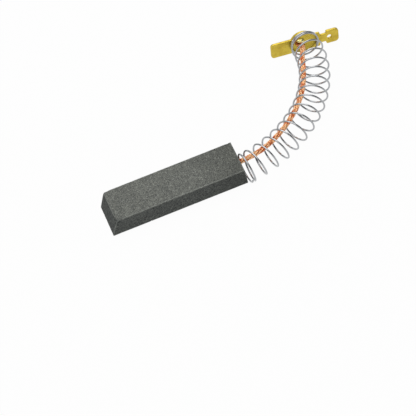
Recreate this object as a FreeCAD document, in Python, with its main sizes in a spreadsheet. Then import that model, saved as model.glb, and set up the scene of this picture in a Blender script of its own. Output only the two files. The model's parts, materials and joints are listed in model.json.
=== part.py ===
import FreeCAD, Part
import itertools
import math
import os
import Sketcher
from FreeCAD import Placement, Rotation, Vector

# Carbon brush with a side terminal: a carbon block, a coil spring bent through a quarter
# turn, a copper braid inside it, and a flat brass tab terminal that the spring presses on.
#
# Block frame, in millimetres: X runs from the contact end of the block (0) to its back face,
# Y across its width with 0 in the middle, Z up through its thickness with 0 at its underside.
# Everything is modelled there and then laid down together the way the brush comes to rest.

SIZES = (
    ("block_length", 40.0, "contact end to back face"),
    ("block_width", 12.5, "across the brush holder"),
    ("block_thickness", 5.0, "through the brush holder"),
    ("nose_setback", 2.0, "how far the slanted contact face falls back at the top"),
    ("edge_break", 0.15, "worn edge of the block"),
    ("lead_hole_diameter", 2.6, "hole for the braid in the back face"),
    ("lead_hole_depth", 5.0, ""),
    ("powder_under_braid", 1.0, "rammed powder below the end of the braid"),
    ("braid_diameter", 1.5, "copper shunt"),
    ("wire_diameter", 0.5, "spring wire"),
    ("coil_diameter", 8.5, "middle of the wire, across the coil"),
    ("end_coil_diameter", 7.95, "the closed turns at the terminal are wound narrower"),
    ("active_turns", 15.54, ""),
    ("block_end_turns", 0.55, "closed turns at the block"),
    ("block_opening_turns", 0.95, "turns in which the coil opens to its full pitch"),
    ("terminal_end_turns", 0.95, "closed turns at the terminal"),
    ("terminal_opening_turns", 0.75, "turns in which the coil closes again"),
    ("closed_gap", 0.03, "between closed turns"),
    ("first_wire_angle", 202.0, "where the wire starts round the coil, in degrees"),
    ("seat_clearance", 0.05, "between the spring and what it sits on"),
    ("coil_shift", 3.1, "the coil hangs this far to the near side of the braid hole"),
    ("seat_lean", 8.0, "the coil leans this much on the far side of its first turn, in degrees"),
    ("turn_in_length", 2.5, "centre line where the coil tips over"),
    ("turn_in_angle", 4.0, "degrees"),
    ("bend_length", 49.8, "centre line along the bend"),
    ("bend_angle", 78.0, "degrees"),
    ("straight_length", 2.5, "centre line square to the terminal"),
    ("plate_thickness", 0.8, "brass of the terminal"),
    ("plate_drop", 0.6, "middle line of the plate below the middle of the coil"),
    ("blade_width", 4.8, "tab for a push-on receptacle"),
    ("blade_reach", 9.9, "middle of the coil to the tip of the tab"),
    ("blade_corner", 0.9, "rounded corners of the tab"),
    ("shoulder_reach", 4.9, "middle of the coil to the neck"),
    ("shoulder_corner", 0.4, "rounded corners of the shoulders"),
    ("disc_diameter", 7.2, "round middle behind the coil"),
    ("disc_shift", 0.5, "middle of the coil to the middle of the disc, towards the tab"),
    ("disc_rise", 0.7, "middle of the disc above the middle line of the plate"),
    ("neck_width", 2.7, ""),
    ("neck_length", 1.85, ""),
    ("neck_corner", 0.35, "rounded inner corners of the neck"),
    ("lug_width", 4.6, ""),
    ("lug_length", 3.75, ""),
    ("lug_corner", 1.1, "rounded corners at the end of the lug"),
    ("lug_root_corner", 0.35, "rounded corners of the lug at the neck"),
    ("lug_hole_diameter", 1.4, ""),
    ("lug_hole_inset", 0.95, "neck to the middle of the hole"),
    ("terminal_turn", 8.0, "the lug end hangs down by this angle, in degrees"),
    ("braid_foot_shift", 0.95, "middle of the coil to the foot of the braid, towards the tab"),
    ("braid_foot_rise", 0.3, "foot of the braid above the middle of the coil"),
    ("weld_diameter", 2.5, "bead round the foot of the braid"),
    ("weld_height", 0.6, ""),
)

# The braid between its two ends: share of the spring's centre line, offset to the inner side
# of the bend, rise above the centre line.
BRAID_ROUTE = (
    (0.191, 1.95, 0.8),
    (0.334, 2.15, 1.1),
    (0.490, 2.45, 1.1),
    (0.658, 2.8, 0.8),
    (0.824, 2.85, 0.3),
    (0.915, 2.3, 0.0),
)
BRAID_FIRST_REACH = 3.0
BRAID_LAST_RUN = 2.4
POINTS_PER_TURN = 16


class Length:
    """A size together with the spreadsheet expression that drives it."""

    def __init__(self, value, text):
        self.value = value
        self.text = text

    def __add__(self, other):
        return Length(self.value + other.value, f"({self.text} + {other.text})")

    def __sub__(self, other):
        return Length(self.value - other.value, f"({self.text} - {other.text})")

    def __mul__(self, factor):
        return Length(self.value * factor, f"({self.text} * {factor})")

    def __neg__(self):
        return self * -1


def make_sheet(doc):
    """The driving dimensions, one row each: name, value, note."""
    sheet = doc.addObject("Spreadsheet::Sheet", "sizes")
    for row, (alias, value, note) in enumerate(SIZES, start=1):
        sheet.set(f"A{row}", alias)
        sheet.set(f"B{row}", str(value))
        sheet.set(f"C{row}", note)
        sheet.setAlias(f"B{row}", alias)
    doc.recompute()
    return sheet


doc = FreeCAD.newDocument("carbon_brush")
sheet = make_sheet(doc)
V = {alias: float(sheet.get(alias)) for alias, _, _ in SIZES}
L = {alias: Length(V[alias], f"sizes.{alias}") for alias in V}
NODES = []


def node(obj, label):
    """Take an object as one piece of the brush."""
    obj.Label = label
    NODES.append(obj)
    return obj


def origin_plane(body, role):
    for feature in body.Origin.OriginFeatures:
        if feature.Role == role:
            return feature
    raise ValueError(role)


def new_sketch(body, name, role, lift=None):
    """A sketch on one of the body's planes, lifted off it along the plane's normal."""
    sketch = body.newObject("Sketcher::SketchObject", name)
    sketch.AttachmentSupport = [(origin_plane(body, role), "")]
    sketch.MapMode = "FlatFace"
    if lift is not None:
        sketch.AttachmentOffset = Placement(Vector(0, 0, lift.value), Rotation())
        sketch.setExpression("AttachmentOffset.Base.z", lift.text)
    return sketch


def drive(sketch, kind, places, length):
    """Add one dimension to a sketch and bind it to the sheet."""
    index = sketch.addConstraint(Sketcher.Constraint(kind, *places, length.value))
    sketch.setExpression(f"Constraints[{index}]", length.text)


def add_outline(sketch, corners):
    """A closed outline of straight edges through corners given as pairs of lengths."""
    points = [Vector(x.value, y.value, 0) for x, y in corners]
    count = len(points)
    for i in range(count):
        sketch.addGeometry(Part.LineSegment(points[i], points[(i + 1) % count]), False)
    for i in range(count):
        sketch.addConstraint(Sketcher.Constraint("Coincident", i, 2, (i + 1) % count, 1))
    for i, (x, y) in enumerate(corners):
        drive(sketch, "DistanceX", (-1, 1, i, 1), x)
        drive(sketch, "DistanceY", (-1, 1, i, 1), y)


def add_circle(sketch, diameter, x=None, y=None):
    """A circle on the sketch's origin, or at a pair of lengths from it."""
    centre = Vector(x.value if x else 0, y.value if y else 0, 0)
    index = sketch.addGeometry(Part.Circle(centre, Vector(0, 0, 1), diameter.value / 2), False)
    drive(sketch, "Diameter", (index,), diameter)
    if x is None and y is None:
        sketch.addConstraint(Sketcher.Constraint("Coincident", index, 3, -1, 1))
        return
    if x is None:
        sketch.addConstraint(Sketcher.Constraint("PointOnObject", index, 3, -2))
    else:
        drive(sketch, "DistanceX", (-1, 1, index, 3), x)
    if y is None:
        sketch.addConstraint(Sketcher.Constraint("PointOnObject", index, 3, -1))
    else:
        drive(sketch, "DistanceY", (-1, 1, index, 3), y)


def pad(body, name, sketch, length, both_sides=False, reverse=False):
    feature = body.newObject("PartDesign::Pad", name)
    feature.Profile = sketch
    feature.Length = length.value
    feature.setExpression("Length", length.text)
    feature.Midplane = both_sides
    feature.Reversed = reverse
    doc.recompute()
    return feature


def pocket(body, name, sketch, depth):
    """A pocket against the sketch's normal, checked by the material it takes away."""
    before = body.Shape.Volume
    feature = body.newObject("PartDesign::Pocket", name)
    feature.Profile = sketch
    feature.Length = depth.value
    feature.setExpression("Length", depth.text)
    doc.recompute()
    if body.Shape.Volume >= before - 1e-6:
        raise ValueError(f"{name} cuts nothing")
    return feature


def make_block():
    """Carbon block with a slanted contact face and a hole for the braid in its back face."""
    body = doc.addObject("PartDesign::Body", "carbon_block")
    side = new_sketch(body, "block_side", "XZ_Plane")
    zero = L["block_length"] * 0
    add_outline(side, (
        (zero, zero),
        (L["block_length"], zero),
        (L["block_length"], L["block_thickness"]),
        (L["nose_setback"], L["block_thickness"]),
    ))
    solid = pad(body, "block_solid", side, L["block_width"], both_sides=True)
    worn = body.newObject("PartDesign::Chamfer", "worn_edges")
    worn.Base = (solid, [f"Edge{i + 1}" for i in range(len(solid.Shape.Edges))])
    worn.Size = V["edge_break"]
    worn.setExpression("Size", "sizes.edge_break")
    doc.recompute()
    back = new_sketch(body, "lead_hole_outline", "YZ_Plane", L["block_length"])
    add_circle(back, L["lead_hole_diameter"], y=L["block_thickness"] * 0.5)
    pocket(body, "lead_hole", back, L["lead_hole_depth"])
    return node(body, "carbon_block")


def make_cylinder(name, diameter, height):
    cylinder = doc.addObject("Part::Cylinder", name)
    cylinder.setExpression("Radius", (diameter * 0.5).text)
    cylinder.setExpression("Height", height.text)
    return cylinder


def make_plug():
    """Rammed powder that fills the hole round the braid; its own Z axis runs into the block."""
    filling = make_cylinder("powder_filling", L["lead_hole_diameter"], L["lead_hole_depth"])
    bore = make_cylinder("braid_in_powder", L["braid_diameter"], L["lead_hole_depth"] - L["powder_under_braid"])
    plug = doc.addObject("Part::Cut", "tamping_plug")
    plug.Base = filling
    plug.Tool = bore
    plug.Placement = Placement(hole_mouth(), Rotation(Vector(0, 0, 1), Vector(-1, 0, 0)))
    return node(plug, "tamping_plug")


def hole_mouth():
    """Middle of the braid's hole in the back face."""
    return Vector(V["block_length"], 0, V["block_thickness"] / 2)


def closed_pitch():
    return V["wire_diameter"] + V["closed_gap"]


def centre_line_start():
    """How far from the contact end the centre line starts, so that the far side of the leaning
    first turn just clears the back face."""
    run_to_seat = closed_pitch() * (360 - V["first_wire_angle"]) / 360
    lean = math.radians(V["seat_lean"] + V["turn_in_angle"] * run_to_seat / V["turn_in_length"])
    seat = V["block_length"] + V["seat_clearance"] + V["wire_diameter"] / 2
    return seat + V["coil_diameter"] / 2 * math.sin(lean) - run_to_seat * math.cos(lean)


def centre_line(distance):
    """Point and heading on the spring's centre line, a distance from the start of its wire."""
    x, y, heading = centre_line_start(), -V["coil_shift"], math.radians(V["seat_lean"])
    pieces = (
        (V["turn_in_length"], math.radians(V["turn_in_angle"])),
        (V["bend_length"], math.radians(V["bend_angle"])),
        (V["straight_length"], 0.0),
    )
    for length, angle in pieces:
        run = min(max(distance, 0.0), length)
        if angle:
            radius = length / angle
            after = heading + run / radius
            x += radius * (math.sin(after) - math.sin(heading))
            y += radius * (math.cos(heading) - math.cos(after))
            heading = after
        else:
            x += run * math.cos(heading)
            y += run * math.sin(heading)
        distance -= length
    return Vector(x, y, V["block_thickness"] / 2), heading


def spring_length():
    return V["turn_in_length"] + V["bend_length"] + V["straight_length"]


def wound_turns():
    return V["block_end_turns"] + V["active_turns"] + V["terminal_end_turns"]


def smooth(value):
    value = min(max(value, 0.0), 1.0)
    return value * value * (3 - 2 * value)


def opening_share(turns):
    """How far the coil has opened after its closed start, from 0 to 1."""
    return smooth((turns - V["block_end_turns"]) / V["block_opening_turns"])


def closing_share(turns):
    """1 along the coil, and 0 where it is closed and narrow at the terminal."""
    return smooth((wound_turns() - V["terminal_end_turns"] - turns) / V["terminal_opening_turns"])


def turn_distances():
    """Distance along the centre line at each step round the coil: closed, open, closed."""
    steps = round(wound_turns() * POINTS_PER_TURN)
    turn = wound_turns() / steps
    middles = [(i + 0.5) * turn for i in range(steps)]
    shares = [opening_share(middle) * closing_share(middle) for middle in middles]
    closed = closed_pitch()
    rest = spring_length() - closed * turn * sum(1 - share for share in shares)
    pitch = rest / (turn * sum(shares))
    distances = [0.0]
    for share in shares:
        distances.append(distances[-1] + turn * (closed * (1 - share) + pitch * share))
    return distances, turn


def coil_point(distance, turns):
    """Point on the wire after a number of turns: the coil stands square to the centre line."""
    centre, heading = centre_line(distance)
    narrow = V["end_coil_diameter"]
    radius = (narrow + (V["coil_diameter"] - narrow) * closing_share(turns)) / 2
    angle = math.radians(V["first_wire_angle"] + 360 * turns)
    inward = Vector(-math.sin(heading), math.cos(heading), 0)
    return centre + inward * (radius * math.cos(angle)) + Vector(0, 0, radius * math.sin(angle))


def coil_bottoms():
    """Lowest point of each turn, on the outside of the wire."""
    distances, turn = turn_distances()
    turns = (270 - V["first_wire_angle"]) / 360
    bottoms = []
    while turns < wound_turns():
        step = int(turns / turn)
        run = distances[step + 1] - distances[step]
        distance = distances[step] + run * (turns / turn - step)
        bottoms.append(coil_point(distance, turns) - Vector(0, 0, V["wire_diameter"] / 2))
        turns += 1
    return bottoms


def sweep(path, diameter, follows_curve=False):
    """A round solid along a path, which a curve that never straightens may guide by itself."""
    start = path.Edges[0].firstVertex(True).Point
    direction = path.Edges[0].tangentAt(path.Edges[0].FirstParameter)
    section = Part.Wire([Part.Circle(start, direction, diameter / 2).toShape()])
    return path.makePipeShell([section], True, follows_curve)


def make_spring():
    """Right-handed steel spring with closed ends, bent through a quarter turn."""
    distances, turn = turn_distances()
    points = [coil_point(distance, turn * i) for i, distance in enumerate(distances)]
    curve = Part.BSplineCurve()
    curve.interpolate(points)
    feature = doc.addObject("Part::Feature", "spring")
    path = Part.Wire([curve.toShape()])
    feature.Shape = sweep(path, V["wire_diameter"], follows_curve=True)
    ratio = feature.Shape.Volume / (path.Length * math.pi * V["wire_diameter"] ** 2 / 4)
    print(f"spring: wire {path.Length:.1f} mm, volume against section times length {ratio:.4f}")
    return node(feature, "spring")


def terminal_place():
    """The terminal's own frame: X along the plate to the lug, Z out of the face that the
    spring presses on, and the origin on that face in the middle of the coil."""
    end, heading = centre_line(spring_length())
    gap = V["wire_diameter"] / 2 + V["seat_clearance"]
    forward = Vector(math.cos(heading), math.sin(heading), 0)
    level = Vector(math.sin(heading), -math.cos(heading), 0)
    turn = math.radians(V["terminal_turn"])
    along = level * math.cos(turn) - Vector(0, 0, math.sin(turn))
    upward = level * math.sin(turn) + Vector(0, 0, math.cos(turn))
    return Placement(end + forward * gap, Rotation(along, upward, -forward, "ZXY"))


def round_corners(body, name, corners, radius):
    """Round the edges of the plate that stand at corners given as pairs of lengths."""
    before = body.Tip
    edges = []
    for x, y in corners:
        for i, edge in enumerate(before.Shape.Edges):
            box = edge.BoundBox
            across = max(abs(box.Center.x - x.value), abs(box.Center.y - y.value), box.XLength, box.YLength)
            if across < 1e-4:
                edges.append(f"Edge{i + 1}")
    if len(edges) != len(corners):
        raise ValueError(f"{name} finds {len(edges)} of {len(corners)} corners")
    fillet = body.newObject("PartDesign::Fillet", name)
    fillet.Base = (before, edges)
    fillet.Radius = radius.value
    fillet.setExpression("Radius", radius.text)
    doc.recompute()


def make_terminal():
    """Flat brass stamping: tab, round middle, neck and lug with a hole."""
    shoulder = L["shoulder_reach"]
    root = shoulder + L["neck_length"]
    end = root + L["lug_length"]
    tip = -L["blade_reach"]
    middle = -L["plate_drop"]

    def both_sides(x, width):
        return ((x, middle - width * 0.5), (x, middle + width * 0.5))

    tip_corners = both_sides(tip, L["blade_width"])
    shoulder_corners = both_sides(shoulder, L["blade_width"])
    neck_starts = both_sides(shoulder, L["neck_width"])
    neck_ends = both_sides(root, L["neck_width"])
    root_corners = both_sides(root, L["lug_width"])
    lug_corners = both_sides(end, L["lug_width"])
    lower, upper = zip(tip_corners, shoulder_corners, neck_starts, neck_ends, root_corners, lug_corners)
    body = doc.addObject("PartDesign::Body", "terminal")
    outline = new_sketch(body, "plate_outline", "XY_Plane")
    add_outline(outline, lower + tuple(reversed(upper)))
    pad(body, "plate", outline, L["plate_thickness"], reverse=True)
    round_corners(body, "tab_corners", tip_corners, L["blade_corner"])
    round_corners(body, "shoulder_corners", shoulder_corners, L["shoulder_corner"])
    round_corners(body, "neck_corners", neck_starts + neck_ends, L["neck_corner"])
    round_corners(body, "lug_root_corners", root_corners, L["lug_root_corner"])
    round_corners(body, "lug_corners", lug_corners, L["lug_corner"])
    disc = new_sketch(body, "disc_outline", "XY_Plane")
    add_circle(disc, L["disc_diameter"], x=-L["disc_shift"], y=middle + L["disc_rise"])
    pad(body, "disc", disc, L["plate_thickness"], reverse=True)
    hole = new_sketch(body, "lug_hole_outline", "XY_Plane")
    add_circle(hole, L["lug_hole_diameter"], x=root + L["lug_hole_inset"], y=middle)
    pocket(body, "lug_hole", hole, L["plate_thickness"])
    body.Placement = terminal_place()
    return node(body, "terminal")


def braid_foot():
    """Where the braid stands on the terminal, and which way is into the plate there."""
    place = terminal_place()
    foot = place.multVec(Vector(-V["braid_foot_shift"], V["braid_foot_rise"], 0))
    return foot, place.Rotation.multVec(Vector(0, 0, -1))


def braid_points():
    """Route of the braid from its end in the block to the terminal."""
    points = [hole_mouth() - Vector(V["lead_hole_depth"] - V["powder_under_braid"], 0, 0)]
    points.append(hole_mouth() + Vector(BRAID_FIRST_REACH, 0, 0))
    for share, inner, rise in BRAID_ROUTE:
        centre, heading = centre_line(share * spring_length())
        inward = Vector(-math.sin(heading), math.cos(heading), 0)
        points.append(centre + inward * inner + Vector(0, 0, rise))
    foot, forward = braid_foot()
    points.append(foot - forward * BRAID_LAST_RUN)
    points.append(foot)
    return points


def rounded_route(points):
    """Straight runs joined by tangent arcs, each as large as its two runs allow."""
    edges = []
    start = points[0]
    for before, corner, after in zip(points, points[1:], points[2:]):
        back = (before - corner).normalize()
        ahead = (after - corner).normalize()
        half_turn = (math.pi - back.getAngle(ahead)) / 2
        reach = 0.45 * min((before - corner).Length, (after - corner).Length)
        radius = reach / math.tan(half_turn)
        print(f"braid: turn {math.degrees(2 * half_turn):.1f} degrees, radius {radius:.1f} mm")
        first = corner + back * reach
        last = corner + ahead * reach
        towards = (back + ahead).normalize()
        middle = corner + towards * (radius / math.cos(half_turn) - radius)
        edges.append(Part.LineSegment(start, first).toShape())
        edges.append(Part.Arc(first, middle, last).toShape())
        start = last
    edges.append(Part.LineSegment(start, points[-1]).toShape())
    return Part.Wire(edges)


def make_braid():
    """Copper braid, as a plain round cord, from the powder in the block to the terminal."""
    path = rounded_route(braid_points())
    feature = doc.addObject("Part::Feature", "copper_braid")
    feature.Shape = sweep(path, V["braid_diameter"])
    ratio = feature.Shape.Volume / (path.Length * math.pi * V["braid_diameter"] ** 2 / 4)
    print(f"braid: length {path.Length:.1f} mm, volume against section times length {ratio:.4f}")
    return node(feature, "copper_braid")


def make_weld():
    """Bead that joins the foot of the braid to the terminal."""
    cone = doc.addObject("Part::Cone", "weld_cone")
    cone.setExpression("Radius1", (L["weld_diameter"] * 0.5).text)
    cone.setExpression("Radius2", ((L["weld_diameter"] + L["braid_diameter"]) * 0.25).text)
    cone.setExpression("Height", "sizes.weld_height")
    bore = make_cylinder("braid_in_weld", L["braid_diameter"], L["weld_height"])
    weld = doc.addObject("Part::Cut", "weld_bead")
    weld.Base = cone
    weld.Tool = bore
    foot, forward = braid_foot()
    weld.Placement = Placement(foot, Rotation(Vector(0, 0, 1), -forward))
    return node(weld, "weld_bead")


def lying_down():
    """Turn that lays the brush on its far nose corner and on two turns of the spring."""
    nose = Vector(0, V["block_width"] / 2, 0)
    bottoms = coil_bottoms()
    for first, last in itertools.combinations(bottoms, 2):
        normal = (first - nose).cross(last - nose).normalize()
        if all((point - nose).dot(normal) > -1e-6 for point in bottoms):
            return Rotation(normal, Vector(0, 0, 1))
    raise ValueError("no two turns carry the brush")


def lay_on_surface():
    """Lay all pieces down and bring the origin under the middle of the brush."""
    turn = Placement(Vector(), lying_down())
    for piece in NODES:
        piece.Placement = turn.multiply(piece.Placement)
    doc.recompute()
    box = FreeCAD.BoundBox()
    for piece in NODES:
        box.add(piece.Shape.optimalBoundingBox(False, False))
    shift = Placement(Vector(-box.Center.x, -box.Center.y, -box.ZMin), Rotation())
    for piece in NODES:
        piece.Placement = shift.multiply(piece.Placement)
    doc.recompute()
    print("block frame in the part's frame:", shift.multiply(turn))
    print(f"size {box.XLength:.2f} x {box.YLength:.2f} x {box.ZLength:.2f} mm")


def check_document():
    for obj in doc.Objects:
        if "Invalid" in obj.State or "Error" in obj.State:
            raise ValueError(f"{obj.Name} failed: {obj.State}")
    for piece in NODES:
        if piece.Shape.isNull() or not piece.Shape.isValid():
            raise ValueError(f"{piece.Label} has no valid shape")
        if len(piece.Shape.Solids) != 1:
            raise ValueError(f"{piece.Label} has {len(piece.Shape.Solids)} solids")


def write_parts():
    os.makedirs("parts", exist_ok=True)
    for piece in NODES:
        piece.Shape.exportStep(f"parts/{piece.Label}.step")
        lowest = piece.Shape.optimalBoundingBox(False, False).ZMin
        print(f"{piece.Label}: volume {piece.Shape.Volume:.2f} mm3, lowest point {lowest:.2f} mm")


make_block()
make_plug()
make_braid()
make_spring()
make_terminal()
make_weld()
doc.recompute()
lay_on_surface()
check_document()
write_parts()
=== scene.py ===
import json
import math
import random

import bpy
from mathutils import Matrix, Vector, noise


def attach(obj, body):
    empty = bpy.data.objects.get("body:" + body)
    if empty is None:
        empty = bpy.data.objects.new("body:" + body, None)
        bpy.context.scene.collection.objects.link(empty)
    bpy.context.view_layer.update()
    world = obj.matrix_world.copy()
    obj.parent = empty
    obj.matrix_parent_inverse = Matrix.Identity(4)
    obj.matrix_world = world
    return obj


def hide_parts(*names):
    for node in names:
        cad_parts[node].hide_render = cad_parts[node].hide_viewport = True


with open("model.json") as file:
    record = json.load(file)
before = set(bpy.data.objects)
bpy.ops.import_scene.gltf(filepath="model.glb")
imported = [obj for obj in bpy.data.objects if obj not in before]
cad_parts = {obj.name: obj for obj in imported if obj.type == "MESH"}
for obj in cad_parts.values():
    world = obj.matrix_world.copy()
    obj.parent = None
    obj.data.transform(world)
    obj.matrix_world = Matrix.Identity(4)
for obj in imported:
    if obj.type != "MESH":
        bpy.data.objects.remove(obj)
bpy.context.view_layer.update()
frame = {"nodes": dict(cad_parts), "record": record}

MM = 0.001
MOUNTS = {mount["name"]: mount for mount in frame["record"]["mounts"]}

# Sizes of the carbon brush, in metres, as in its construction
BLOCK_LENGTH = 40.0 * MM
BLOCK_WIDTH = 12.5 * MM
BLOCK_THICKNESS = 5.0 * MM
NOSE_SETBACK = 2.0 * MM
LEAD_HOLE_DIAMETER = 2.6 * MM
LEAD_HOLE_DEPTH = 5.0 * MM
POWDER_UNDER_BRAID = 1.0 * MM
BRAID_DIAMETER = 1.5 * MM
WIRE_DIAMETER = 0.5 * MM
COIL_DIAMETER = 8.5 * MM
END_COIL_DIAMETER = 7.95 * MM
ACTIVE_TURNS = 15.54
BLOCK_END_TURNS = 0.55
BLOCK_OPENING_TURNS = 0.95
TERMINAL_END_TURNS = 0.95
TERMINAL_OPENING_TURNS = 0.75
WOUND_TURNS = BLOCK_END_TURNS + ACTIVE_TURNS + TERMINAL_END_TURNS
CLOSED_PITCH = WIRE_DIAMETER + 0.03 * MM
FIRST_WIRE_ANGLE = math.radians(202)
SEAT_CLEARANCE = 0.05 * MM
COIL_SHIFT = 3.1 * MM
SEAT_LEAN = math.radians(8)
CENTRE_PIECES = (
    (2.5 * MM, math.radians(4)),
    (49.8 * MM, math.radians(78)),
    (2.5 * MM, 0.0),
)
SPRING_LENGTH = sum(length for length, _ in CENTRE_PIECES)
PLATE_THICKNESS = 0.8 * MM
PLATE_DROP = 0.6 * MM
BLADE_WIDTH = 4.8 * MM
BLADE_REACH = 9.9 * MM
BLADE_CORNER = 0.9 * MM
SHOULDER_REACH = 4.9 * MM
SHOULDER_CORNER = 0.4 * MM
DISC_DIAMETER = 7.2 * MM
DISC_SHIFT = 0.5 * MM
DISC_RISE = 0.7 * MM
NECK_WIDTH = 2.7 * MM
NECK_LENGTH = 1.85 * MM
NECK_CORNER = 0.35 * MM
LUG_WIDTH = 4.6 * MM
LUG_LENGTH = 3.75 * MM
LUG_CORNER = 1.1 * MM
LUG_ROOT_CORNER = 0.35 * MM
LUG_HOLE_DIAMETER = 1.4 * MM
LUG_HOLE_INSET = 0.95 * MM
BRAID_FOOT_SHIFT = 0.95 * MM
BRAID_FOOT_RISE = 0.3 * MM
WELD_DIAMETER = 2.5 * MM

# The braid between its two ends: share of the spring's centre line, offset to the inner side
# of the bend and rise above the centre line in millimetres.
BRAID_ROUTE = (
    (0.191, 1.95, 0.8),
    (0.334, 2.15, 1.1),
    (0.490, 2.45, 1.1),
    (0.658, 2.8, 0.8),
    (0.824, 2.85, 0.3),
    (0.915, 2.3, 0.0),
)
BRAID_FIRST_REACH = 3.0 * MM
BRAID_LAST_RUN = 2.4 * MM

# Wear of the block, which the construction shows only as small bevels: the radius of its edges,
# the chips in them, and the softer edge and corner at the nose, which fade over their reach.
WEAR_RADIUS = 0.16 * MM
WEAR_UNEVENNESS = 0.05 * MM
WEAR_PERIOD = 1.6 * MM
CHIP_SIZE = 0.18 * MM
CHIP_PERIOD = 0.9 * MM
CHIP_THRESHOLD = 0.32
CHIP_FADE = 0.25
CHIP_SEED = Vector((7, 3, 5))
NOSE_EDGE_WEAR = 0.3 * MM
NOSE_EDGE_REACH = 1.0 * MM
NOSE_CORNER_WEAR = 0.8 * MM
NOSE_CORNER_REACH = 2.0 * MM
GRID_MARGIN = 1.2 * MM
GRID_FINE = 0.08 * MM
GRID_COARSE = 0.4 * MM

# Make of the braid: twisted bundles of fine strands, loose in places. The foot is splayed: it is
# shifted and spread sideways, let down, pressed flat above its middle and let out below it.
BUNDLES = 5
BUNDLE_LAY = 12.0 * MM
BUNDLE_SHARE = math.sin(math.pi / BUNDLES)
BUNDLE_RADIUS = BRAID_DIAMETER / 2 * BUNDLE_SHARE / (1 + BUNDLE_SHARE)
STRANDS = 11
STRAND_LAY = 5.0 * MM
STRAND_RADIUS = BUNDLE_RADIUS * 0.24
STRAND_JITTER = 0.2
CORE_RADIUS = BRAID_DIAMETER * 0.22
BRAID_STEP = 0.22 * MM
LOOSENESS = 0.05
LOOSE_PERIOD = 1.9 * MM
SPLAY_LENGTH = 4.2 * MM
SPLAY_SHIFT = 0.4 * MM
SPLAY_DROP = 0.25 * MM
SPLAY_ABOVE = -0.9
SPLAY_BELOW = 0.3
SPLAY_OF_CORES = 0.4
SPLAY_OF_STRANDS = 0.55
BRAID_SEED = 7

# Make of the bead: a tapering dome, pressed flat on its upper side, with low waves round it
BEAD_HEIGHT = 0.9 * MM
BEAD_TAPER = 0.45
BEAD_FULLNESS = 6
BEAD_INSET = 0.06
BEAD_FLATNESS = 0.6
BEAD_RISE = 0.1 * MM
BEAD_WAVES = 5
BEAD_WAVE_TIMES = (2, 3, 5)
BEAD_WAVE_PHASES = (0, 6.28)
BEAD_WAVE_SIZES = (0.003, 0.012)
BEAD_SEED = 3

# How finely the round forms are divided, and from what angle an edge is shaded as sharp
SPRING_STEPS_PER_TURN = 56
SPRING_SIDES = 14
WIRE_END_SHARE = 0.86
CORE_SIDES = 8
BUNDLE_SIDES = 10
STRAND_SIDES = 6
LATHE_SIDES = 48
BEAD_STEPS = 16
CORNER_STEPS = 8
DISC_TOP_STEPS = 48
DISC_BOTTOM_STEPS = 32
HOLE_STEPS = 32
ROUTE_RESOLUTION = 40
PLATE_ROUNDING = 0.16 * MM
PLATE_ROUNDING_STEPS = 4
SHARP_ON_BLOCK = math.radians(60)
SHARP_ON_PLATE = math.radians(50)

# Surroundings: the floor's glow is the share of plain white in what the camera sees of it
FLOOR_HALF_WIDTH = 3.0
FLOOR_DROP = 0.02 * MM
FLOOR_GREY = (0.6, 0.6, 0.6, 1)
FLOOR_GLOW = 0.97
WHITE = (1, 1, 1, 1)

# Camera at the photograph's viewpoint, with its angles and target in the block's frame
CAMERA_ELEVATION = math.radians(44.76)
CAMERA_YAW = math.radians(5.97)
CAMERA_ROLL = math.radians(-17.45)
CAMERA_DISTANCE = 867.1 * MM
CAMERA_TARGET = Vector((26.66 * MM, -12.33 * MM, 2.5 * MM))
CAMERA_CLIP = (0.01, 20)
FOCAL_PIXELS = 3171.5
PICTURE_WIDTH = 416
SENSOR_WIDTH = 36


# Frames

def smooth(value):
    """A smooth step from 0 to 1, held at both ends."""
    value = min(max(value, 0.0), 1.0)
    return value * value * (3 - 2 * value)


def mount_point(name):
    return Vector(MOUNTS[name]["pos_m"])


def mount_axis(name):
    return Vector(MOUNTS[name]["axis"]).normalized()


def frame_matrix(origin, x, y, z):
    matrix = Matrix((x, y, z)).transposed().to_4x4()
    matrix.translation = origin
    return matrix


def block_frame():
    """X from the contact end to the back, Y across, Z up, origin mid-width at the underside."""
    x = -mount_axis("block_in_holder")
    y = mount_axis("contact_face").cross(x).normalized()
    if y.y < 0:
        y = -y
    z = x.cross(y)
    origin = mount_point("block_in_holder") - z * (BLOCK_THICKNESS / 2)
    return frame_matrix(origin, x, y, z)


def terminal_frame():
    """X along the plate to the lug, Z out of the face that the spring presses on, and the
    origin on that face in the middle of the coil."""
    x = -mount_axis("terminal_tab")
    z = mount_axis("lug_hole")
    x = (x - z * x.dot(z)).normalized()
    y = z.cross(x)
    tip = mount_point("terminal_tab")
    origin = tip + x * BLADE_REACH + y * PLATE_DROP + z * (PLATE_THICKNESS / 2)
    return frame_matrix(origin, x, y, z)


BLOCK = block_frame()
TERMINAL = terminal_frame()
TERMINAL_ON_BLOCK = BLOCK.inverted() @ TERMINAL


def centre_line_start():
    """Where the centre line starts, so that the leaning first turn just clears the back face."""
    run_to_seat = CLOSED_PITCH * (math.tau - FIRST_WIRE_ANGLE) / math.tau
    length, angle = CENTRE_PIECES[0]
    lean = SEAT_LEAN + angle * run_to_seat / length
    seat = BLOCK_LENGTH + SEAT_CLEARANCE + WIRE_DIAMETER / 2
    return seat + COIL_DIAMETER / 2 * math.sin(lean) - run_to_seat * math.cos(lean)


def centre_line(distance):
    """Point and heading on the spring's centre line in the block's frame."""
    x = centre_line_start()
    y = -COIL_SHIFT
    heading = SEAT_LEAN
    for length, angle in CENTRE_PIECES:
        run = min(max(distance, 0.0), length)
        if angle:
            radius = length / angle
            after = heading + run / radius
            x += radius * (math.sin(after) - math.sin(heading))
            y += radius * (math.cos(heading) - math.cos(after))
            heading = after
        else:
            x += run * math.cos(heading)
            y += run * math.sin(heading)
        distance -= length
    return Vector((x, y, BLOCK_THICKNESS / 2)), heading


def to_inside(heading):
    """Direction to the inner side of the spring's bend."""
    return Vector((-math.sin(heading), math.cos(heading), 0))


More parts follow.
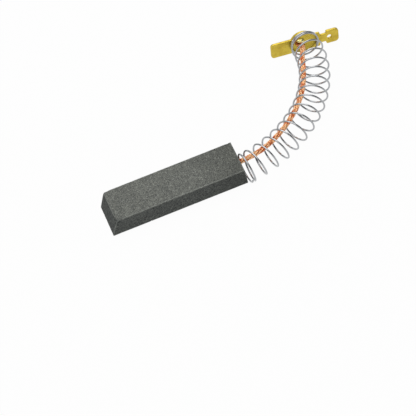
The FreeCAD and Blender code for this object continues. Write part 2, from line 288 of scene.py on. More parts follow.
# Meshes

def new_object(name, data, matrix=None):
    piece = bpy.data.objects.new(name, data)
    bpy.context.scene.collection.objects.link(piece)
    if matrix is not None:
        piece.matrix_world = matrix
    return piece


def shade_smooth(mesh):
    for polygon in mesh.polygons:
        polygon.use_smooth = True


def mesh_from(name, vertices, faces):
    mesh = bpy.data.meshes.new(name)
    mesh.from_pydata([tuple(vertex) for vertex in vertices], [], faces)
    mesh.validate()
    shade_smooth(mesh)
    return mesh


def mesh_of_curve(name, curve):
    """The mesh that a curve makes. The curve's object is removed."""
    holder = new_object(name, curve)
    mesh = bpy.data.meshes.new_from_object(holder)
    bpy.data.objects.remove(holder)
    return mesh


def path_frames(points):
    """Tangent and two normals at each point, carried along without twist."""
    frames = []
    side = None
    for i in range(len(points)):
        before = points[max(i - 1, 0)]
        after = points[min(i + 1, len(points) - 1)]
        tangent = (after - before).normalized()
        if side is None:
            side = tangent.orthogonal().normalized()
        side = (side - tangent * side.dot(tangent)).normalized()
        frames.append((tangent, side, tangent.cross(side)))
    return frames


def add_tube(vertices, faces, points, radii, sides):
    """A round tube with flat ends, added to lists of vertices and faces."""
    first = len(vertices)
    for point, radius, (_, side, other) in zip(points, radii, path_frames(points)):
        for k in range(sides):
            angle = math.tau * k / sides
            sideways = side * (radius * math.cos(angle))
            vertices.append(point + sideways + other * (radius * math.sin(angle)))
    for i in range(len(points) - 1):
        for k in range(sides):
            a = first + i * sides + k
            b = first + i * sides + (k + 1) % sides
            faces.append((a, b, b + sides, a + sides))
    last = first + (len(points) - 1) * sides
    faces.append(tuple(first + k for k in reversed(range(sides))))
    faces.append(tuple(last + k for k in range(sides)))


def lathe(profile, sides):
    """Turn a profile of (radius, height) pairs round Z; a radius of 0 closes it."""
    vertices = []
    rings = []
    for radius, height in profile:
        if radius == 0:
            rings.append([len(vertices)] * sides)
            vertices.append(Vector((0, 0, height)))
            continue
        rings.append(list(range(len(vertices), len(vertices) + sides)))
        for k in range(sides):
            angle = math.tau * k / sides
            vertices.append(Vector((radius * math.cos(angle), radius * math.sin(angle), height)))
    faces = []
    for low, high in zip(rings, rings[1:]):
        for k in range(sides):
            ring = (low[k], low[(k + 1) % sides], high[(k + 1) % sides], high[k])
            faces.append(tuple(dict.fromkeys(ring)))
    return vertices, faces


def into_mesh(piece):
    """Move the piece's place into its mesh, so that its box lies closely round it."""
    piece.data.transform(piece.matrix_world)
    piece.matrix_world = Matrix()


def add_modifier(piece, kind, **settings):
    modifier = piece.modifiers.new(kind.lower(), kind)
    for name, value in settings.items():
        setattr(modifier, name, value)


def apply_modifiers(piece):
    """Turn what the modifiers make into the piece's own mesh."""
    graph = bpy.context.evaluated_depsgraph_get()
    mesh = bpy.data.meshes.new_from_object(piece.evaluated_get(graph))
    piece.modifiers.clear()
    piece.data = mesh


# Shader nodes

class Tree:
    """Short calls that add nodes to the tree of a material or world."""

    def __init__(self, owner):
        owner.use_nodes = True
        self.tree = owner.node_tree

    def new(self, kind, **settings):
        made = self.tree.nodes.new(kind)
        for name, value in settings.items():
            setattr(made, name, value)
        return made

    def put(self, socket, value):
        """Link what another node gives to a socket, or set a constant on it."""
        if isinstance(value, bpy.types.NodeSocket):
            self.tree.links.new(value, socket)
        else:
            socket.default_value = value

    def made_from(self, node, values):
        """The first output of a node, with these values put on its inputs in order."""
        for socket, value in zip(node.inputs, values):
            self.put(socket, value)
        return node.outputs[0]

    def math(self, operation, *values):
        return self.made_from(self.new("ShaderNodeMath", operation=operation), values)

    def span(self, value, low, high, to_low=0.0, to_high=1.0, curve="SMOOTHSTEP"):
        """Map a value from one range to another, held at both ends."""
        node = self.new("ShaderNodeMapRange", interpolation_type=curve)
        return self.made_from(node, (value, low, high, to_low, to_high))

    def mix_shaders(self, amount, first, second):
        return self.made_from(self.new("ShaderNodeMixShader"), (amount, first, second))


class Surface(Tree):
    """A new material with a Principled shader, and calls for the textures before it."""

    # Sockets of the Mix node when it mixes colours
    FIRST_COLOUR = 6
    SECOND_COLOUR = 7
    MIXED_COLOUR = 2

    def __init__(self, name):
        self.material = bpy.data.materials.new(name)
        super().__init__(self.material)
        self.shader = self.tree.nodes["Principled BSDF"]
        self.coordinates = self.new("ShaderNodeTexCoord").outputs["Object"]

    def noise(self, scale, detail, roughness, where=None):
        made = self.new("ShaderNodeTexNoise")
        self.put(made.inputs["Vector"], where or self.coordinates)
        made.inputs["Scale"].default_value = scale
        made.inputs["Detail"].default_value = detail
        made.inputs["Roughness"].default_value = roughness
        return made.outputs["Fac"]

    def cells(self, scale):
        made = self.new("ShaderNodeTexVoronoi")
        self.put(made.inputs["Vector"], self.coordinates)
        made.inputs["Scale"].default_value = scale
        return made.outputs["Distance"]

    def use_frame(self, matrix):
        """Take the coordinates of this frame instead of the piece's own."""
        made = self.new("ShaderNodeMapping", vector_type="TEXTURE")
        self.put(made.inputs["Vector"], self.coordinates)
        made.inputs["Location"].default_value = matrix.to_translation()
        made.inputs["Rotation"].default_value = matrix.to_euler()
        self.coordinates = made.outputs["Vector"]

    def stretched(self, x, y, z):
        made = self.new("ShaderNodeVectorMath", operation="MULTIPLY")
        return self.made_from(made, (self.coordinates, (x, y, z)))

    def split(self):
        made = self.new("ShaderNodeSeparateXYZ")
        self.put(made.inputs[0], self.coordinates)
        return made.outputs

    def mix(self, amount, first, second, blend="MIX"):
        made = self.new("ShaderNodeMix", data_type="RGBA", blend_type=blend)
        self.put(made.inputs["Factor"], amount)
        self.put(made.inputs[self.FIRST_COLOUR], first)
        self.put(made.inputs[self.SECOND_COLOUR], second)
        return made.outputs[self.MIXED_COLOUR]

    def darken(self, amount, colour, shade):
        """Multiply a colour by a shade where the amount is high."""
        return self.mix(amount, colour, (*shade, 1.0), blend="MULTIPLY")

    def bump(self, height, distance, strength, before=None):
        """A height from 0 to 1, which stands for this distance, as bump on an earlier bump."""
        made = self.new("ShaderNodeBump")
        self.put(made.inputs["Height"], height)
        made.inputs["Distance"].default_value = distance
        made.inputs["Strength"].default_value = strength
        if before is not None:
            self.put(made.inputs["Normal"], before)
        return made.outputs["Normal"]

    def finish(self, **inputs):
        """Put values on the shader's inputs, with _ for a space in their names."""
        for name, value in inputs.items():
            self.put(self.shader.inputs[name.replace("_", " ")], value)
        return self.material


# Colours

def rgb(red, green, blue):
    """A colour given in display values from 0 to 255."""
    def linear(value):
        share = value / 255
        return share / 12.92 if share <= 0.04045 else ((share + 0.055) / 1.055) ** 2.4
    return (linear(red), linear(green), linear(blue), 1.0)


CARBON_CLEAN = rgb(117, 119, 112)
CARBON_CLOUD = rgb(104, 106, 100)
CARBON_MOTTLE = rgb(90, 92, 88)
CARBON_DARK_GRAIN = rgb(42, 44, 43)
CARBON_LIGHT_SPECK = rgb(166, 169, 162)
CARBON_WORN_EDGE = rgb(150, 153, 148)
# Painted shade: multiplier that darkens and cools the block's sides against its top
CARBON_PAINTED_SIDE_SHADE = (0.64, 0.68, 0.74)
# Multiplier for darker mottled patches on the nose face
CARBON_NOSE_PATCH_SHADE = (0.5, 0.5, 0.5)
# Painted shade: multiplier that darkens the nose face
CARBON_PAINTED_NOSE_SHADE = (0.55, 0.56, 0.56)
# Painted shade: multiplier that darkens the block towards its back end
CARBON_PAINTED_BACK_SHADE = (0.70, 0.70, 0.69)
POWDER_GRAPHITE = rgb(58, 50, 45)
POWDER_COPPER = rgb(138, 84, 58)
COPPER_BRIGHT = rgb(255, 212, 166)
COPPER_TARNISHED = rgb(226, 130, 76)
STEEL_DULL = rgb(152, 154, 156)
STEEL_BRIGHT = rgb(188, 190, 192)
BRASS_CLEAN = rgb(208, 184, 76)
BRASS_STAINED = rgb(190, 165, 62)
BEAD_DULL = rgb(252, 238, 150)
BEAD_BRIGHT = rgb(255, 250, 190)


# Materials

def nose_and_edge_distances(s, x, y, z):
    """Distance from the slanted nose, and to the block's nearest edge. On a face, that is the
    middle one of the distances along, across and through the block."""
    lean = s.math("MULTIPLY", z, NOSE_SETBACK / BLOCK_THICKNESS)
    from_nose = s.math("SUBTRACT", x, lean)
    along = s.math("MINIMUM", from_nose, s.math("SUBTRACT", BLOCK_LENGTH, x))
    across = s.math("SUBTRACT", BLOCK_WIDTH / 2, s.math("ABSOLUTE", y))
    through = s.math("MINIMUM", z, s.math("SUBTRACT", BLOCK_THICKNESS, z))
    low = s.math("MINIMUM", along, across)
    high = s.math("MAXIMUM", along, across)
    to_edge = s.math("MAXIMUM", low, s.math("MINIMUM", high, through))
    return from_nose, to_edge


def carbon_grey(s, mottles, grains):
    """Grey with soft clouds, mottles and dark grains."""
    clouds = s.noise(scale=300, detail=4, roughness=0.6)
    ground = s.mix(s.span(clouds, 0.35, 0.65), CARBON_CLOUD, CARBON_CLEAN)
    mottled = s.mix(s.span(mottles, 0.36, 0.62), CARBON_MOTTLE, ground)
    return s.mix(s.span(grains, 0.37, 0.50, to_low=0.9, to_high=0.0), mottled, CARBON_DARK_GRAIN)


def carbon_material():
    """Sintered carbon: dull grey with dark and light grains, paler where the edges are worn, with
    darker mottled patches on the nose face, and painted shade on the sides, on the nose face and
    towards the back."""
    s = Surface("carbon")
    x, y, z = s.split()
    from_nose, to_edge = nose_and_edge_distances(s, x, y, z)
    mottles = s.noise(scale=1700, detail=3, roughness=0.65)
    grains = s.noise(scale=3000, detail=2, roughness=0.75)
    specks = s.noise(scale=3900, detail=2, roughness=0.6)
    edge_noise = s.math("MULTIPLY", s.noise(scale=1500, detail=3, roughness=0.6), 0.5 * MM)

    top = BLOCK_THICKNESS
    on_top = s.span(z, top - 0.4 * MM, top - 0.1 * MM, to_low=0.5)
    light = s.math("MULTIPLY", s.span(specks, 0.56, 0.70, to_high=0.75), on_top)
    speckled = s.mix(light, carbon_grey(s, mottles, grains), CARBON_LIGHT_SPECK)
    # Painted shade: the sides are darker and cooler than the top, standing in for the lesser light on
    # them
    with_painted_side_shade = s.darken(s.math("SUBTRACT", 1.0, on_top), speckled, CARBON_PAINTED_SIDE_SHADE)

    nose = s.span(from_nose, 0.05 * MM, 0.5 * MM, to_low=1.0, to_high=0.0)
    # Darker mottled patches on the nose face
    nose_patches = s.math("MULTIPLY", nose, s.span(mottles, 0.40, 0.58, to_low=1.0, to_high=0.0))
    with_nose_patches = s.darken(nose_patches, with_painted_side_shade, CARBON_NOSE_PATCH_SHADE)
    # Painted shade: the nose face is darkened, standing in for the lesser light on the end face
    with_painted_nose_shade = s.darken(nose, with_nose_patches, CARBON_PAINTED_NOSE_SHADE)
    # Painted shade: darker towards the back end, standing in for the light falling off away from the
    # nose
    towards_back = s.span(x, 0.6 * BLOCK_LENGTH, BLOCK_LENGTH)
    with_painted_back_shade = s.darken(towards_back, with_painted_nose_shade, CARBON_PAINTED_BACK_SHADE)

    near_edge = s.math("SUBTRACT", to_edge, edge_noise)
    worn = s.span(near_edge, -0.1 * MM, 0.12 * MM, to_low=1.0, to_high=0.0)
    colour = s.mix(s.math("MULTIPLY", worn, 0.35), with_painted_back_shade, CARBON_WORN_EDGE)
    rough = s.span(grains, 0.3, 0.7, to_low=0.74, to_high=0.9)
    coarse = s.bump(grains, distance=0.08 * MM, strength=0.8)
    normal = s.bump(specks, distance=0.04 * MM, strength=0.6, before=coarse)
    return s.finish(Base_Color=colour, Roughness=rough, Specular_IOR_Level=0.35, Normal=normal)


def powder_material():
    """Rammed copper and graphite powder: dark and granular with coppery grains."""
    s = Surface("powder")
    shade = s.noise(scale=3800, detail=4, roughness=0.7)
    colour = s.mix(s.span(shade, 0.4, 0.62), POWDER_GRAPHITE, POWDER_COPPER)
    normal = s.bump(s.cells(scale=5200), distance=0.08 * MM, strength=0.9)
    return s.finish(Base_Color=colour, Roughness=0.75, Metallic=0.25, Normal=normal)


def copper_material():
    """Bright drawn copper with darker places where the strands have tarnished."""
    s = Surface("copper")
    tarnish = s.noise(scale=700, detail=3, roughness=0.6)
    fine = s.noise(scale=6000, detail=2, roughness=0.5)
    colour = s.mix(s.span(tarnish, 0.44, 0.62), COPPER_BRIGHT, COPPER_TARNISHED)
    rough = s.span(fine, 0.3, 0.7, to_low=0.48, to_high=0.62)
    normal = s.bump(fine, distance=0.008 * MM, strength=0.4)
    return s.finish(Base_Color=colour, Roughness=rough, Metallic=1.0, Normal=normal)


def steel_material():
    """Bright spring wire with faint drawing marks."""
    s = Surface("spring_steel")
    cloud = s.noise(scale=350, detail=3, roughness=0.5)
    marks = s.noise(scale=9000, detail=2, roughness=0.6)
    colour = s.mix(cloud, STEEL_DULL, STEEL_BRIGHT)
    rough = s.span(marks, 0.3, 0.7, to_low=0.16, to_high=0.26)
    normal = s.bump(marks, distance=0.004 * MM, strength=0.5)
    return s.finish(Base_Color=colour, Roughness=rough, Metallic=1.0, Normal=normal)


def brass_material():
    """Rolled brass sheet: faint rolling lines, slight stains and small dents."""
    s = Surface("brass")
    s.use_frame(TERMINAL)
    along_the_plate = s.stretched(0.12, 3.0, 3.0)
    lines = s.noise(scale=900, detail=3, roughness=0.6, where=along_the_plate)
    stain = s.noise(scale=330, detail=4, roughness=0.6)
    dents = s.noise(scale=3800, detail=3, roughness=0.6)
    colour = s.mix(s.span(stain, 0.35, 0.7), BRASS_CLEAN, BRASS_STAINED)
    rough = s.span(stain, 0.3, 0.7, to_low=0.34, to_high=0.46)
    coarse = s.bump(lines, distance=0.012 * MM, strength=0.5)
    normal = s.bump(dents, distance=0.01 * MM, strength=0.35, before=coarse)
    return s.finish(Base_Color=colour, Roughness=rough, Metallic=1.0, Normal=normal)


def weld_material():
    """Smooth pale bead, a little uneven in colour."""
    s = Surface("weld")
    shade = s.noise(scale=1400, detail=3, roughness=0.6)
    colour = s.mix(s.span(shade, 0.4, 0.62), BEAD_DULL, BEAD_BRIGHT)
    normal = s.bump(shade, distance=0.006 * MM, strength=0.5)
    return s.finish(Base_Color=colour, Roughness=0.24, Metallic=1.0, Normal=normal)


def give(piece, material):
    piece.data.materials.clear()
    piece.data.materials.append(material)


# Carbon block

def spaced(low, high):
    """Grid lines between two sides of the block, closer together near both."""
    near = round(GRID_MARGIN / GRID_FINE)
    between = high - low - 2 * GRID_MARGIN
    middle = round(between / GRID_COARSE)
    lines = [low + i * GRID_FINE for i in range(near)]
    lines += [low + GRID_MARGIN + between * i / middle for i in range(middle)]
    return lines + [high - GRID_MARGIN + i * GRID_FINE for i in range(near + 1)]


def grid_box(lines):
    """Vertices and quads over the six sides of a box with the given grid lines on each axis."""
    numbers = {}
    vertices = []
    faces = []

    def number(key):
        if key not in numbers:
            numbers[key] = len(vertices)
            vertices.append(Vector([lines[axis][key[axis]] for axis in range(3)]))
        return numbers[key]

    def add_quad(axis, side, a, b):
        u = (axis + 1) % 3
        v = (axis + 2) % 3
        quad = []
        for du, dv in ((0, 0), (1, 0), (1, 1), (0, 1)):
            key = [0, 0, 0]
            key[axis] = side
            key[u] = a + du
            key[v] = b + dv
            quad.append(number(tuple(key)))
        faces.append(tuple(quad) if side else tuple(reversed(quad)))

    for axis in range(3):
        rows = len(lines[(axis + 1) % 3]) - 1
        columns = len(lines[(axis + 2) % 3]) - 1
        for side in (0, len(lines[axis]) - 1):
            for a in range(rows):
                for b in range(columns):
                    add_quad(axis, side, a, b)
    return vertices, faces


def edge_wear(point):
    """Radius of the worn edge near a point: uneven, with small chips, softer at the nose."""
    uneven = WEAR_RADIUS + WEAR_UNEVENNESS * noise.noise(point / WEAR_PERIOD)
    chip = noise.noise(point / CHIP_PERIOD + CHIP_SEED)
    chips = CHIP_SIZE * smooth((chip - CHIP_THRESHOLD) / CHIP_FADE)
    to_nose_edge = math.hypot(point.x, point.z - BLOCK_THICKNESS)
    to_nose_corner = math.hypot(to_nose_edge, point.y + BLOCK_WIDTH / 2)
    soft_edge = NOSE_EDGE_WEAR * math.exp(-(to_nose_edge / NOSE_EDGE_REACH) ** 2)
    round_corner = NOSE_CORNER_WEAR * math.exp(-(to_nose_corner / NOSE_CORNER_REACH) ** 2)
    return uneven + chips + soft_edge + round_corner


def worn_block():
    """The block with rounded, worn edges and its contact face slanted back at the top."""
    low = Vector((0, -BLOCK_WIDTH / 2, 0))
    high = Vector((BLOCK_LENGTH, BLOCK_WIDTH / 2, BLOCK_THICKNESS))
    vertices, faces = grid_box([spaced(low[axis], high[axis]) for axis in range(3)])
    for vertex in vertices:
        radius = edge_wear(vertex)
        inner = Vector([min(max(vertex[i], low[i] + radius), high[i] - radius) for i in range(3)])
        vertex[:] = inner + (vertex - inner).normalized() * radius
        slant = NOSE_SETBACK * vertex.z / BLOCK_THICKNESS
        vertex.x += slant * (1 - vertex.x / BLOCK_LENGTH)
    return mesh_from("block", vertices, faces)


def cut_bore(block):
    """Cut the hole for the braid into the back face."""
    radius = LEAD_HOLE_DIAMETER / 2
    past_face = 1.0 * MM
    profile = ((0, -LEAD_HOLE_DEPTH), (radius, -LEAD_HOLE_DEPTH), (radius, past_face), (0, past_face))
    bore = new_object("bore", mesh_from("bore", *lathe(profile, LATHE_SIDES)))
    mouth = Matrix.Translation((BLOCK_LENGTH, 0, BLOCK_THICKNESS / 2))
    bore.matrix_world = BLOCK @ mouth @ Matrix.Rotation(math.pi / 2, 4, "Y")
    bpy.context.view_layer.update()
    add_modifier(block, "BOOLEAN", object=bore, operation="DIFFERENCE", solver="EXACT")
    apply_modifiers(block)
    bpy.data.objects.remove(bore)


def make_block():
    block = new_object("block", worn_block(), BLOCK)
    cut_bore(block)
    add_modifier(block, "EDGE_SPLIT", split_angle=SHARP_ON_BLOCK)
    give(block, carbon_material())
    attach(block, "root")
    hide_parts("carbon_block")


# Spring

def opening_share(turns):
    """How far the coil has opened after its closed start, from 0 to 1."""
    return smooth((turns - BLOCK_END_TURNS) / BLOCK_OPENING_TURNS)


def closing_share(turns):
    """1 along the coil, and 0 where it is closed and narrow at the terminal."""
    return smooth((WOUND_TURNS - TERMINAL_END_TURNS - turns) / TERMINAL_OPENING_TURNS)


def turn_distances(per_turn):
    """Distance along the centre line at each step round the coil: closed, open, closed."""
    steps = round(WOUND_TURNS * per_turn)
    turn = WOUND_TURNS / steps
    middles = [(i + 0.5) * turn for i in range(steps)]
    shares = [opening_share(middle) * closing_share(middle) for middle in middles]
    rest = SPRING_LENGTH - CLOSED_PITCH * turn * sum(1 - share for share in shares)
    pitch = rest / (turn * sum(shares))
    distances = [0.0]
    for share in shares:
        distances.append(distances[-1] + turn * (CLOSED_PITCH * (1 - share) + pitch * share))
    return distances, turn


def spring_points(per_turn):
    """Middle line of the spring's wire in the block's frame."""
    distances, turn = turn_distances(per_turn)
    points = []
    for i, distance in enumerate(distances):
        centre, heading = centre_line(distance)
        wider = (COIL_DIAMETER - END_COIL_DIAMETER) * closing_share(turn * i)
        radius = (END_COIL_DIAMETER + wider) / 2
        angle = FIRST_WIRE_ANGLE + math.tau * turn * i
        sideways = to_inside(heading) * (radius * math.cos(angle))
        points.append(centre + sideways + Vector((0, 0, radius * math.sin(angle))))
    return points


def make_spring():
    """The wire, a little narrower at its two cut ends."""
    points = spring_points(SPRING_STEPS_PER_TURN)
    radius = WIRE_DIAMETER / 2
    cut_end = [radius * WIRE_END_SHARE]
    radii = cut_end + [radius] * (len(points) - 2) + cut_end
    vertices = []
    faces = []
    add_tube(vertices, faces, points, radii, SPRING_SIDES)
    spring = new_object("coil", mesh_from("coil", vertices, faces), BLOCK)
    give(spring, steel_material())
    into_mesh(spring)
    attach(spring, "root")
    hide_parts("spring")


# Braid

def braid_foot(above=0.0):
    """Where the braid stands on the terminal, or a point straight above that."""
    return TERMINAL_ON_BLOCK @ Vector((-BRAID_FOOT_SHIFT, BRAID_FOOT_RISE, above))


def braid_points():
    """The braid's route in the block's frame."""
    mouth = Vector((BLOCK_LENGTH, 0, BLOCK_THICKNESS / 2))
    points = [mouth - Vector((LEAD_HOLE_DEPTH - POWDER_UNDER_BRAID, 0, 0))]
    points.append(mouth + Vector((BRAID_FIRST_REACH, 0, 0)))
    for share, inner, rise in BRAID_ROUTE:
        centre, heading = centre_line(share * SPRING_LENGTH)
        points.append(centre + to_inside(heading) * (inner * MM) + Vector((0, 0, rise * MM)))
    points.append(braid_foot(BRAID_LAST_RUN))
    points.append(braid_foot())
    return points


def route_line(points):
    """Points read from the smooth spline that the route controls."""
    curve = bpy.data.curves.new("route", "CURVE")
    curve.dimensions = "3D"
    curve.resolution_u = ROUTE_RESOLUTION
    spline = curve.splines.new("NURBS")
    spline.points.add(len(points) - 1)
    for slot, point in zip(spline.points, points):
        slot.co = (*point, 1.0)
    spline.order_u = 3
    spline.use_endpoint_u = True
    mesh = mesh_of_curve("route", curve)
    line = [vertex.co.copy() for vertex in mesh.vertices]
    bpy.data.meshes.remove(mesh)
    return line


def line_length(line):
    return sum((b - a).length for a, b in zip(line, line[1:]))


def even_line(line, step):
    """The same line with points a fixed step apart."""
    count = max(2, round(line_length(line) / step))
    wanted = line_length(line) / count
    points = [line[0]]
    passed = 0.0
    for a, b in zip(line, line[1:]):
        piece = (b - a).length
        while len(points) < count and passed + piece >= wanted * len(points):
            points.append(a.lerp(b, (wanted * len(points) - passed) / piece))
        passed += piece
    points.append(line[-1])
    return points


def splayed(away, splay):
    """An offset from the braid's middle, spread sideways and pressed flat as splay goes to 1."""
    turned = TERMINAL_ON_BLOCK.to_3x3()
    across = turned.col[0]
    up = turned.col[1]
    sideways = away.dot(across)
    upwards = away.dot(up)
    stretch = SPLAY_ABOVE if upwards > 0 else SPLAY_BELOW
    spread = across * (splay * (sideways - SPLAY_SHIFT))
    return away + spread + up * (splay * stretch * upwards - splay * SPLAY_DROP)


def bundle_line(line, frames, phase, waver):
    """Middle line of one bundle, and how far it is splayed at each of its points."""
    total = line_length(line)
    step = total / (len(line) - 1)
    middles = []
    splays = []
    for i, (point, (_, side, other)) in enumerate(zip(line, frames)):
        along = i * step
        splay = smooth(1 - (total - along) / SPLAY_LENGTH)
        turn = phase - math.tau * along / BUNDLE_LAY
        loose = 1 + LOOSENESS * math.sin(along / LOOSE_PERIOD + waver)
        reach = (BRAID_DIAMETER / 2 - BUNDLE_RADIUS) * loose
        away = (side * math.cos(turn) + other * math.sin(turn)) * reach
        middles.append(point + splayed(away, splay))
        splays.append(splay)
    return middles, splays


def strand_line(middles, splays, frames, step, around):
    """One fine strand, wound round the middle line of its bundle."""
    points = []
    for i, (middle, splay, (_, side, other)) in enumerate(zip(middles, splays, frames)):
        spin = around + math.tau * i * step / STRAND_LAY
        spread = (BUNDLE_RADIUS - STRAND_RADIUS) * (1 + SPLAY_OF_STRANDS * splay)
        points.append(middle + (side * math.cos(spin) + other * math.sin(spin)) * spread)
    return points


def add_bundle(vertices, faces, line, frames, phase, generator):
    """One bundle of the braid: a core with fine strands twisted round it."""
    waver = generator.uniform(0, math.tau)
    middles, splays = bundle_line(line, frames, phase, waver)
    core = BUNDLE_RADIUS - STRAND_RADIUS
    core_radii = [core * (1 + SPLAY_OF_CORES * splay) for splay in splays]
    add_tube(vertices, faces, middles, core_radii, BUNDLE_SIDES)
    step = line_length(line) / (len(line) - 1)
    strand_radii = [STRAND_RADIUS] * len(line)
    for strand in range(STRANDS):
        jitter = generator.uniform(-STRAND_JITTER, STRAND_JITTER)
        around = math.tau * (strand + jitter) / STRANDS
        points = strand_line(middles, splays, frames, step, around)
        add_tube(vertices, faces, points, strand_radii, STRAND_SIDES)


def make_braid():
    """A rope of twisted bundles, each of fine strands, splayed at the weld."""
    line = even_line(route_line(braid_points()), BRAID_STEP)
    frames = path_frames(line)
    generator = random.Random(BRAID_SEED)
    vertices = []
    faces = []
    add_tube(vertices, faces, line, [CORE_RADIUS] * len(line), CORE_SIDES)
    for bundle in range(BUNDLES):
        add_bundle(vertices, faces, line, frames, math.tau * bundle / BUNDLES, generator)
    braid = new_object("shunt", mesh_from("shunt", vertices, faces), BLOCK)
    give(braid, copper_material())
    into_mesh(braid)
    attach(braid, "root")
    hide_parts("copper_braid")


# Terminal

def arc(cx, cy, radius, start, end, count):
    """Points along an arc, both ends included, angles in radians."""
    angles = [start + (end - start) * i / count for i in range(count + 1)]
    return [(cx + radius * math.cos(angle), cy + radius * math.sin(angle)) for angle in angles]


def rounded(corners):
    """Outline points of corners given as (x, y, radius), each turned on an arc of its radius."""
    points = []
    for i, (x, y, radius) in enumerate(corners):
        here = Vector((x, y))
        back = (Vector(corners[i - 1][:2]) - here).normalized()
        ahead = (Vector(corners[(i + 1) % len(corners)][:2]) - here).normalized()
        half = back.angle(ahead) / 2
        middle = here + (back + ahead).normalized() * (radius / math.sin(half))
        first = here + back * (radius / math.tan(half)) - middle
        start = math.atan2(first.y, first.x)
        sweep = math.copysign(math.pi - 2 * half, ahead.x * back.y - ahead.y * back.x)
        points += arc(middle.x, middle.y, radius, start, start + sweep, CORNER_STEPS)
    return points


def plate_outline():
    """Outline of the stamping round its middle line, counterclockwise."""
    wide = BLADE_WIDTH / 2
    narrow = NECK_WIDTH / 2
    lug = LUG_WIDTH / 2
    root = SHOULDER_REACH + NECK_LENGTH
    end = root + LUG_LENGTH
    upper = [
        (end, lug, LUG_CORNER),
        (root, lug, LUG_ROOT_CORNER),
        (root, narrow, NECK_CORNER),
        (SHOULDER_REACH, narrow, NECK_CORNER),
        (SHOULDER_REACH, wide, SHOULDER_CORNER),
    ]
    lower = [(x, -y, radius) for x, y, radius in reversed(upper)]
    tip = [(-BLADE_REACH, wide, BLADE_CORNER), (-BLADE_REACH, -wide, BLADE_CORNER)]
    outline = rounded(lower + upper + tip)
    right = [point for point in outline if point[0] > 0]
    left = [point for point in outline if point[0] < 0]
    disc = DISC_DIAMETER / 2
    above = math.asin((wide - DISC_RISE) / disc)
    below = math.asin((wide + DISC_RISE) / disc)
    top = arc(-DISC_SHIFT, DISC_RISE, disc, above, math.pi - above, DISC_TOP_STEPS)
    bottom = arc(-DISC_SHIFT, DISC_RISE, disc, math.pi + below, math.tau - below, DISC_BOTTOM_STEPS)
    return right + top + left + bottom


def hole_outline():
    """Outline of the hole in the lug."""
    x = SHOULDER_REACH + NECK_LENGTH + LUG_HOLE_INSET
    last = HOLE_STEPS - 1
    return arc(x, 0, LUG_HOLE_DIAMETER / 2, 0, math.tau * last / HOLE_STEPS, last)


def add_spline(curve, points):
    spline = curve.splines.new("POLY")
    spline.points.add(len(points) - 1)
    for slot, (x, y) in zip(spline.points, points):
        slot.co = (x, y, 0, 1)
    spline.use_cyclic_u = True


def plate_mesh():
    """The stamping with its rounded edges, in the terminal's frame."""
    curve = bpy.data.curves.new("plate", "CURVE")
    curve.dimensions = "2D"
    curve.fill_mode = "BOTH"
    curve.offset = -PLATE_ROUNDING
    curve.extrude = PLATE_THICKNESS / 2 - PLATE_ROUNDING
    curve.bevel_depth = PLATE_ROUNDING
    curve.bevel_resolution = PLATE_ROUNDING_STEPS
    add_spline(curve, plate_outline())
    add_spline(curve, hole_outline())
    mesh = mesh_of_curve("plate_curve", curve)
    mesh.transform(Matrix.Translation((0, -PLATE_DROP, -PLATE_THICKNESS / 2)))
    shade_smooth(mesh)
    return mesh


def make_terminal():
    plate = new_object("plate", plate_mesh(), TERMINAL)
    give(plate, brass_material())
    add_modifier(plate, "EDGE_SPLIT", split_angle=SHARP_ON_PLATE)
    into_mesh(plate)
    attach(plate, "root")
    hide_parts("terminal")


def bead_profile():
    """Radius and height from the bead's rim to its top."""
    radius = WELD_DIAMETER / 2
    profile = []
    for step in range(BEAD_STEPS):
        share = step / BEAD_STEPS
        dome = (1 - share ** BEAD_FULLNESS) ** 0.5
        profile.append((radius * (1 - BEAD_TAPER * share) * dome, BEAD_HEIGHT * share))
    profile.append((0, BEAD_HEIGHT))
    return profile


def bead_waves():
    """Phase, number of waves round the bead and size of each swelling."""
    generator = random.Random(BEAD_SEED)
    waves = []
    for _ in range(BEAD_WAVES):
        phase = generator.uniform(*BEAD_WAVE_PHASES)
        times = generator.choice(BEAD_WAVE_TIMES)
        waves.append((phase, times, generator.uniform(*BEAD_WAVE_SIZES)))
    return waves


def make_weld():
    """A low uneven bead over the foot of the braid, flat along its upper side."""
    vertices, faces = lathe(bead_profile(), LATHE_SIDES)
    waves = bead_waves()
    for vertex in vertices:
        angle = math.atan2(vertex.y, vertex.x)
        swell = sum(size * math.sin(angle * times + phase) for phase, times, size in waves)
        vertex.x *= 1 + swell - BEAD_INSET
        vertex.y *= 1 + swell - BEAD_INSET
        if vertex.y > 0:
            vertex.y *= BEAD_FLATNESS
        vertex.y += WELD_DIAMETER / 2 * (1 - BEAD_FLATNESS) + BEAD_RISE
    foot = TERMINAL @ Matrix.Translation((-BRAID_FOOT_SHIFT, BRAID_FOOT_RISE, 0))
    weld = new_object("bead", mesh_from("bead", vertices, faces), foot)
    give(weld, weld_material())
    into_mesh(weld)
    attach(weld, "root")
    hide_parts("weld_bead")


# Surroundings

def floor_material():
    """Matte where light falls on it, and nearly white to the camera and in reflections, so that
    the background is white and only the object's shadow shows."""
    material = bpy.data.materials.new("floor")
    tree = Tree(material)
    tree.tree.nodes.clear()
    matte = tree.new("ShaderNodeBsdfDiffuse")
    matte.inputs["Color"].default_value = FLOOR_GREY
    glow = tree.new("ShaderNodeEmission")
    glow.inputs["Color"].default_value = WHITE
    glow.inputs["Strength"].default_value = 1.0
    rays = tree.new("ShaderNodeLightPath").outputs
    seen = tree.math("MAXIMUM", rays["Is Camera Ray"], rays["Is Glossy Ray"])
    share = tree.math("MULTIPLY", seen, FLOOR_GLOW)
    output = tree.new("ShaderNodeOutputMaterial")
    tree.put(output.inputs["Surface"], tree.mix_shaders(share, matte.outputs[0], glow.outputs[0]))
    return material


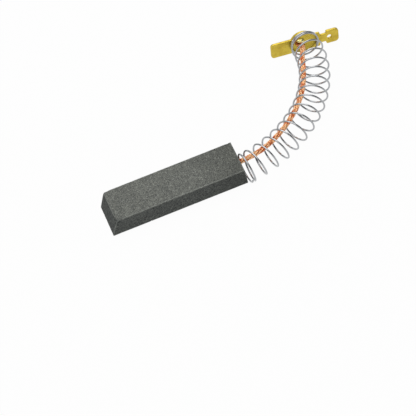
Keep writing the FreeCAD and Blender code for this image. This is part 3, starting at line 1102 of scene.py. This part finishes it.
def make_floor():
    far = FLOOR_HALF_WIDTH
    corners = [(-far, -far, 0), (far, -far, 0), (far, far, 0), (-far, far, 0)]
    floor = new_object("floor", mesh_from("floor", corners, [(0, 1, 2, 3)]))
    floor.location.z = -FLOOR_DROP
    give(floor, floor_material())


def background(tree, strength):
    """White light of the world at this strength."""
    made = tree.new("ShaderNodeBackground")
    made.inputs["Color"].default_value = WHITE
    tree.put(made.inputs["Strength"], strength)
    return made.outputs[0]


def make_world():
    """A studio that is bright low down and towards -X, and plain white to the camera."""
    world = bpy.data.worlds.new("studio")
    bpy.context.scene.world = world
    tree = Tree(world)
    tree.tree.nodes.clear()
    direction = tree.new("ShaderNodeSeparateXYZ")
    tree.put(direction.inputs[0], tree.new("ShaderNodeTexCoord").outputs["Generated"])
    by_height = tree.span(direction.outputs["Z"], 0.15, 0.5, to_low=0.75, to_high=0.08)
    by_side = tree.span(direction.outputs["X"], -1.0, 1.0, to_low=1.9, to_high=0.45, curve="LINEAR")
    studio = background(tree, tree.math("MULTIPLY", by_height, by_side))
    white = background(tree, 1.0)
    from_camera = tree.new("ShaderNodeLightPath").outputs["Is Camera Ray"]
    output = tree.new("ShaderNodeOutputWorld")
    tree.put(output.inputs["Surface"], tree.mix_shaders(from_camera, studio, white))


def area_light(name, place, target, size, power):
    """A rectangular lamp at a place, facing a target."""
    light = bpy.data.lights.new(name, "AREA")
    light.shape = "RECTANGLE"
    light.size, light.size_y = size
    light.energy = power
    lamp = new_object(name, light)
    place = Vector(place)
    turn = (Vector(target) - place).to_track_quat("-Z", "Y")
    lamp.matrix_world = Matrix.Translation(place) @ turn.to_matrix().to_4x4()


def make_lights():
    """A large soft light above, and a small one behind the terminal. Power is in watts."""
    area_light("softbox_above", place=(-0.10, 0.05, 0.5), target=(-0.05, 0.02, 0),
               size=(0.8, 0.7), power=3.3)
    area_light("softbox_behind", place=(0.18, 0.23, 0.23), target=(0.18, 0.0, 0),
               size=(0.3, 0.2), power=0.32)


def make_camera():
    """The fitted camera. Whole numbers stood for the middles of pixels when it was fitted, so it
    moves up and to the left by half a pixel."""
    data = bpy.data.cameras.new("camera")
    data.sensor_width = SENSOR_WIDTH
    data.lens = FOCAL_PIXELS / PICTURE_WIDTH * data.sensor_width
    data.clip_start, data.clip_end = CAMERA_CLIP
    back = Vector((
        -math.sin(CAMERA_YAW) * math.cos(CAMERA_ELEVATION),
        -math.cos(CAMERA_YAW) * math.cos(CAMERA_ELEVATION),
        math.sin(CAMERA_ELEVATION),
    ))
    right = Vector((math.cos(CAMERA_YAW), -math.sin(CAMERA_YAW), 0))
    up = back.cross(right)
    turned_right = right * math.cos(CAMERA_ROLL) + up * math.sin(CAMERA_ROLL)
    turned_up = up * math.cos(CAMERA_ROLL) - right * math.sin(CAMERA_ROLL)
    half_pixel = CAMERA_DISTANCE / FOCAL_PIXELS / 2
    place = CAMERA_TARGET + back * CAMERA_DISTANCE + (turned_up - turned_right) * half_pixel
    camera = new_object("camera", data)
    camera.matrix_world = BLOCK @ frame_matrix(place, turned_right, turned_up, back)
    bpy.context.scene.camera = camera


make_camera()
make_braid()
make_block()
make_spring()
make_terminal()
make_weld()
give(frame["nodes"]["tamping_plug"], powder_material())
make_floor()
make_world()
make_lights()
bpy.context.scene.view_settings.view_transform = "Standard"
